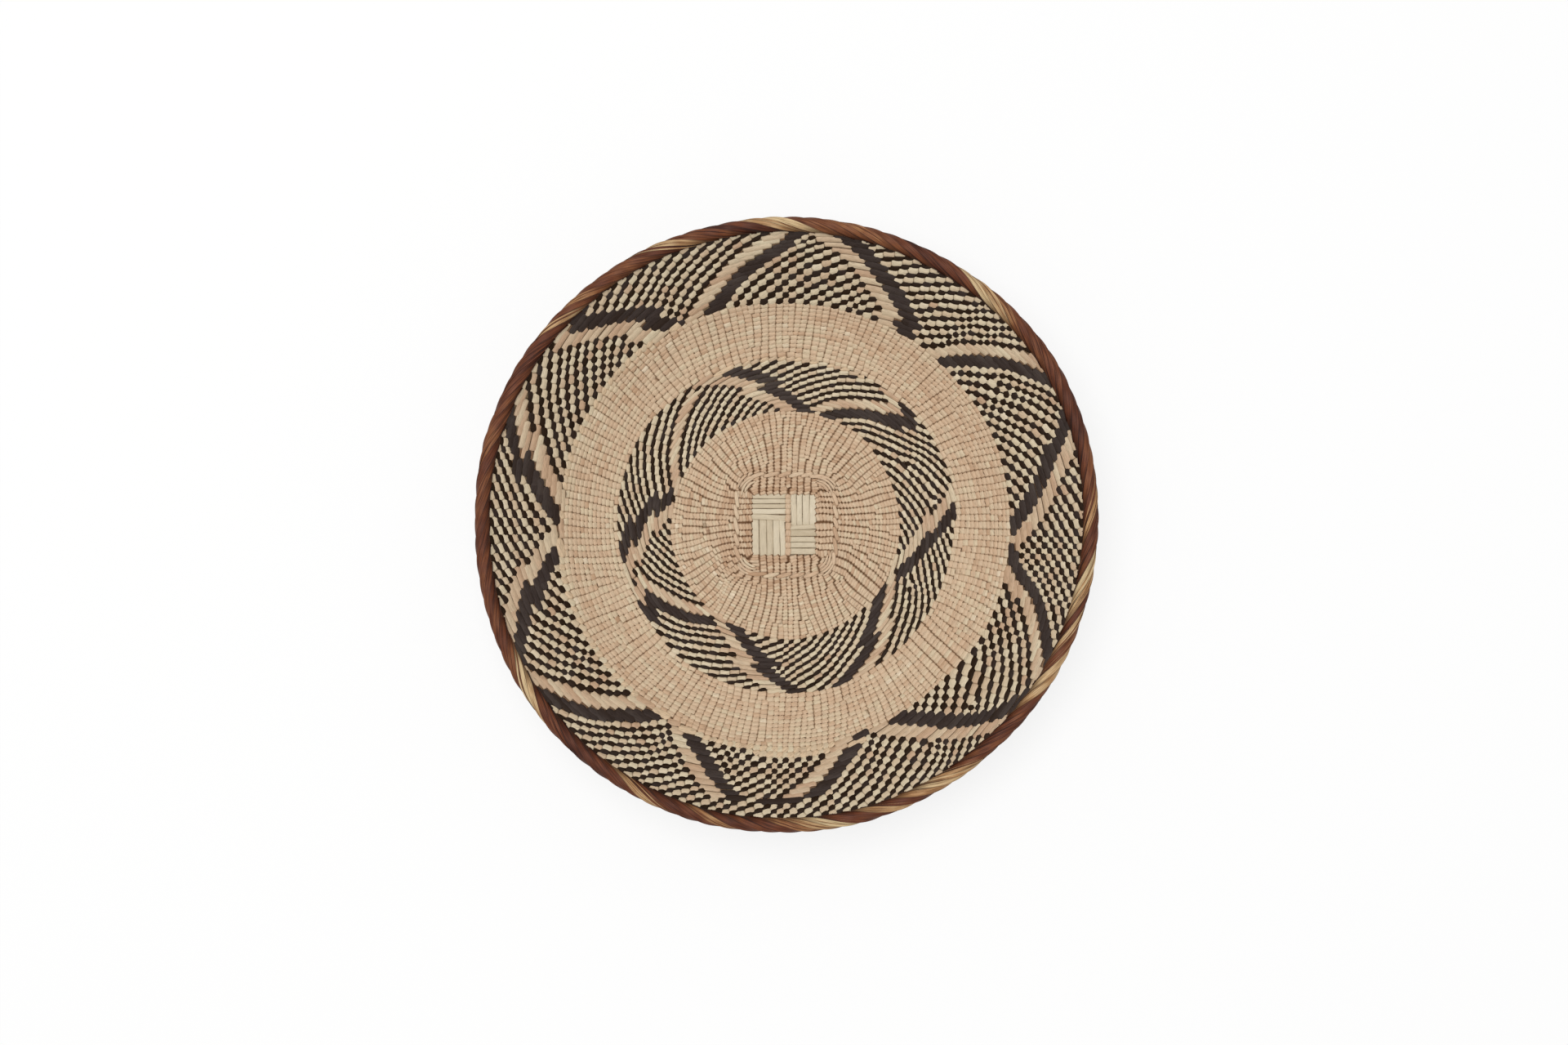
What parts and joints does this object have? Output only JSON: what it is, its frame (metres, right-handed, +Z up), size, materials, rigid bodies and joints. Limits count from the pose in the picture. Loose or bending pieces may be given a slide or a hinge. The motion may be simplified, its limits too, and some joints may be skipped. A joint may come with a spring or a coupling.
{
  "type": "woven palm basket",
  "caption": "Shallow round palm basket with a flat base, twined zigzag rings and a bound rim, for winnowing, serving or display.",
  "frame": {"origin": "on the floor, under the middle of the basket's flat base", "axes": "+Z up, with the mouth up; +X to the right and +Y to the top of the picture"},
  "size_m": [0.4497, 0.4497, 0.0766],
  "materials": {
    "palm_strip": "matte",
    "natural_weft": "matte",
    "pattern_weft": "matte",
    "rim_hoop": "matte",
    "rim_brown": "satin",
    "rim_gold": "satin"
  },
  "bodies": {
    "root": {"crosswise_strip_1": "palm_strip", "crosswise_strip_2": "palm_strip", "crosswise_strip_3": "palm_strip", "crosswise_strip_4": "palm_strip", "crosswise_strip_5": "palm_strip", "crosswise_strip_6": "palm_strip", "crosswise_strip_7": "palm_strip", "crosswise_strip_8": "palm_strip", "crosswise_strip_9": "palm_strip", "crosswise_strip_10": "palm_strip", "lengthwise_strip_1": "palm_strip", "lengthwise_strip_2": "palm_strip", "lengthwise_strip_3": "palm_strip", "lengthwise_strip_4": "palm_strip", "lengthwise_strip_5": "palm_strip", "lengthwise_strip_6": "palm_strip", "lengthwise_strip_7": "palm_strip", "lengthwise_strip_8": "palm_strip", "lengthwise_strip_9": "palm_strip", "added_stake_1": "palm_strip", "added_stake_2": "palm_strip", "added_stake_3": "palm_strip", "added_stake_4": "palm_strip", "added_stake_5": "palm_strip", "added_stake_6": "palm_strip", "added_stake_7": "palm_strip", "added_stake_8": "palm_strip", "added_stake_9": "palm_strip", "added_stake_10": "palm_strip", "added_stake_11": "palm_strip", "added_stake_12": "palm_strip", "added_stake_13": "palm_strip", "added_stake_14": "palm_strip", "added_stake_15": "palm_strip", "added_stake_16": "palm_strip", "centre_field_weft_inside": "natural_weft", "centre_field_weft_outside": "natural_weft", "middle_field_weft_inside": "natural_weft", "middle_field_weft_outside": "natural_weft", "centre_locking_strand_inside": "natural_weft", "centre_locking_strand_outside": "natural_weft", "locking_row_weft": "natural_weft", "inner_pattern_weft_inside": "pattern_weft", "inner_pattern_weft_outside": "pattern_weft", "outer_pattern_weft_inside": "pattern_weft", "outer_pattern_weft_outside": "pattern_weft", "rim_hoop_inner": "rim_hoop", "rim_hoop_outer": "rim_hoop", "rim_binding_brown_1": "rim_brown", "rim_binding_brown_2": "rim_brown", "rim_binding_brown_3": "rim_brown", "rim_binding_brown_4": "rim_brown", "rim_binding_brown_5": "rim_brown", "rim_binding_brown_6": "rim_brown", "rim_binding_gold_1": "rim_gold", "rim_binding_gold_2": "rim_gold", "rim_binding_gold_3": "rim_gold", "rim_binding_gold_4": "rim_gold", "rim_binding_gold_5": "rim_gold", "rim_binding_gold_6": "rim_gold"}
  },
  "joints": []
}
